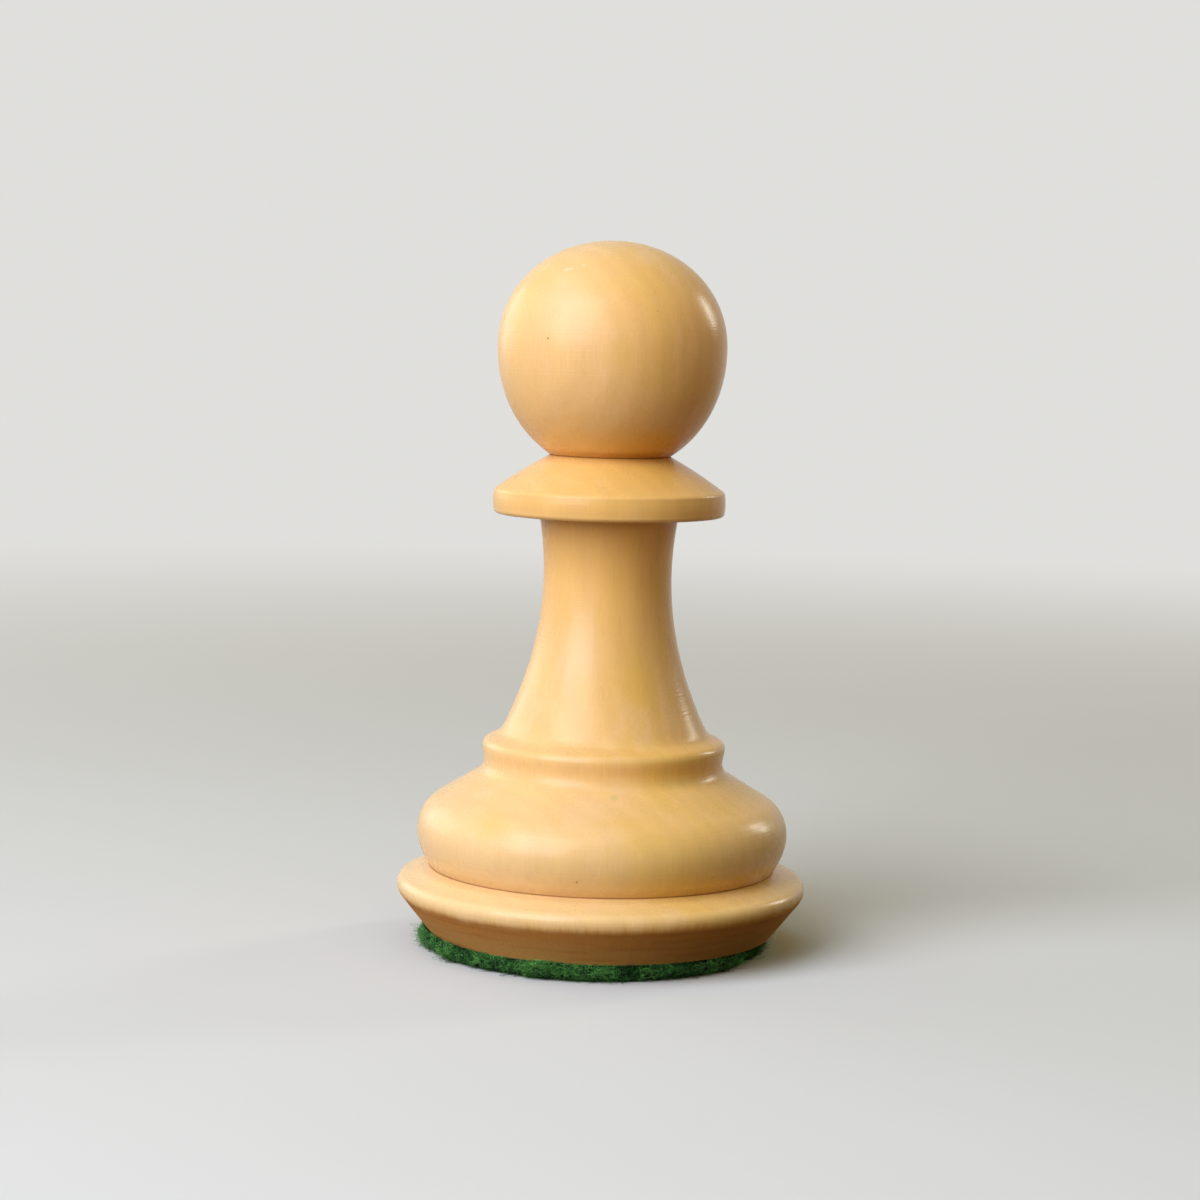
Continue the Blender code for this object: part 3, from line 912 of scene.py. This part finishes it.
def plug_wood():
    """Bare beech plug: short darker rays, open grain and a roughly cut face."""
    beech = Finish(bpy.data.materials.new("plug_wood_bare"))
    place = beech.place()
    grain = beech.noise(place, (0.5, 4.0, 4.0), 3.0, 0.6)
    rays = beech.step(beech.noise(place, (1.4, 9.0, 3.0), 2.0), 0.62, 0.72)
    stain = beech.noise(place, (0.22, 0.3, 0.3), 3.0)
    colour = beech.mix(grain, (0.40, 0.25, 0.125), (0.60, 0.42, 0.25))
    colour = beech.mix(rays * 0.5, colour, (0.27, 0.14, 0.06))
    colour = beech.mix(beech.step(stain, 0.5, 0.75) * 0.35, colour, (0.34, 0.22, 0.11))
    return beech.surface(beech.principled({
        "Base Color": colour,
        "Roughness": 0.72 + (grain - 0.5) * 0.2,
        "Normal": beech.bump(grain * 0.05 - rays * 0.03),
    }))


def cover_slots(node, material):
    """Give a solid its finish in place of its plain material."""
    for index in range(len(node.data.materials)):
        node.data.materials[index] = material


# Stage

FLOOR_SIZE = 6000.0                     # millimetres
FLOOR_COLOUR = (0.735, 0.745, 0.74)
FLOOR_MOTTLE = 1.02                     # how much lighter its lightest parts are
FLOOR_FADE = (0.09, 0.4)                # metres from the pawn over which the floor becomes backdrop
BACKDROP = (0.745, 0.74, 0.72)
FLOOR_BOUNCE = (0.055, 0.05, 0.045)     # the floor sends little light up near the pawn
FAR_BOUNCE = (0.85, 0.345, 0.034)       # and a warm light from farther off
FILL = (0.235, 0.18, 0.052)             # soft light from all round

# Soft lights: azimuth and elevation in degrees, distance, width and height in metres, watts, colour
LIGHTS = {
    "key": (-42, 29, 0.5, (0.38, 0.47), 3.15, (0.99, 1.0, 1.12)),
    "overhead": (-25, 70, 0.5, (0.4, 0.4), 0.4, (0.5, 0.85, 1.3)),
    "back_right": (127, 20, 1.2, (0.12, 0.34), 2.0, (1.0, 0.99, 0.86)),
    "back_left": (-128, 14, 0.45, (0.3, 0.2), 0.3, (1.0, 1.0, 1.0)),
}


def seen_directly(finish):
    """1 for what the camera sees itself, in a gloss or through glass, and 0 for light that bounces."""
    rays = [finish.node("ShaderNodeLightPath", {}, {}, ray)
            for ray in ("Is Camera Ray", "Is Glossy Ray", "Is Transmission Ray")]
    return (rays[0] + rays[1] + rays[2]).at_most(1.0)


def studio_floor():
    """A pale floor that fades into the backdrop with distance and sends a warm light up from there."""
    finish = Finish(bpy.data.materials.new("studio_floor"))
    place = finish.place()
    seen = seen_directly(finish)
    mottle = finish.noise(place, (0.05, 0.05, 0.05), 3.0)
    pale = finish.mix(mottle, FLOOR_COLOUR, tuple(part * FLOOR_MOTTLE for part in FLOOR_COLOUR))
    colour = finish.mix(seen, FLOOR_BOUNCE, pale)
    ground = finish.node("ShaderNodeBsdfDiffuse", {}, {"Color": colour})
    glow = finish.node("ShaderNodeEmission", {}, {"Color": finish.mix(seen, FAR_BOUNCE, BACKDROP)})
    far = finish.step(finish.vector("LENGTH", [place], "Value"), *FLOOR_FADE)
    finish.surface(finish.blend(far, ground, glow))
    half = FLOOR_SIZE / 2
    corners = np.array([(-half, -half, 0.0), (half, -half, 0.0), (half, half, 0.0), (-half, half, 0.0)])
    floor = add_piece("floor", corners, [np.array([[0, 1, 2, 3]])], finish.owner, {})


def studio_world():
    """The backdrop where it is seen, and a plain soft fill for the light that bounces."""
    world = bpy.data.worlds.new("studio")
    bpy.context.scene.world = world
    finish = Finish(world)
    colour = finish.mix(seen_directly(finish), FILL, BACKDROP)
    glow = finish.node("ShaderNodeBackground", {}, {"Color": colour, "Strength": 1.0})
    finish.node("ShaderNodeOutputWorld", {}, {"Surface": glow})


def studio_light(name, azimuth, elevation, distance, size, watts, colour):
    """A soft oblong light aimed at the pawn's middle; the azimuth goes round from the camera to the right."""
    lamp = bpy.data.lights.new(name, "AREA")
    lamp.shape = "RECTANGLE"
    lamp.size, lamp.size_y = size
    lamp.energy = watts
    lamp.color = colour
    light = bpy.data.objects.new(name, lamp)
    turn, rise = math.radians(azimuth), math.radians(elevation)
    towards = Vector((math.sin(turn) * math.cos(rise), -math.cos(turn) * math.cos(rise), math.sin(rise)))
    light.location = Vector((0.0, 0.0, TOP_Z / 2)) + towards * distance
    light.rotation_euler = towards.to_track_quat("Z", "Y").to_euler()
    bpy.context.scene.collection.objects.link(light)


def studio_camera():
    """The camera at the photograph's place, pitched down and rolled a little."""
    lens = bpy.data.cameras.new("camera")
    lens.lens = LENS
    lens.sensor_width = SENSOR_WIDTH
    lens.clip_start = 0.01
    camera = bpy.data.objects.new("camera", lens)
    aim = Matrix.Rotation(math.radians(90 - CAMERA_PITCH), 4, "X")
    roll = Matrix.Rotation(math.radians(CAMERA_ROLL), 4, "Z")
    camera.matrix_world = Matrix.Translation(Vector(CAMERA_PLACE) * MM) @ aim @ roll
    bpy.context.scene.collection.objects.link(camera)
    bpy.context.scene.camera = camera


def dress_pawn():
    """Every piece with its finish and its body; the solids that the new pieces take over from are hidden."""
    body = turned_body(boxwood())
    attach(body, "root")
    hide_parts("turned_body")

    rng = np.random.default_rng(FELT_SEED)
    green = felt_wool()
    edge = felt_edge(rng)
    pad = felt_pad(rng, edge, green)
    clumps = felt_clumps(rng)
    fibres = woolly_piece("felt_fibres", rng, edge, clumps, [MATTED, CURLED], green)
    fuzz = woolly_piece("felt_fuzz", rng, edge, clumps, [FUZZ, LOOSE], green)
    for piece in (pad, fibres, fuzz):
        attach(piece, "root")
    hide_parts("felt_pad")

    cover_slots(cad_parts["weight_slug"], bar_steel())
    cover_slots(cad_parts["bore_plug"], plug_wood())


def light_stage():
    """Floor, backdrop, camera and soft lights: front left, overhead, and low behind on each side."""
    studio_floor()
    studio_world()
    for name, settings in LIGHTS.items():
        studio_light(name, *settings)
    studio_camera()
    bpy.context.scene.view_settings.view_transform = "Standard"


dress_pawn()
light_stage()
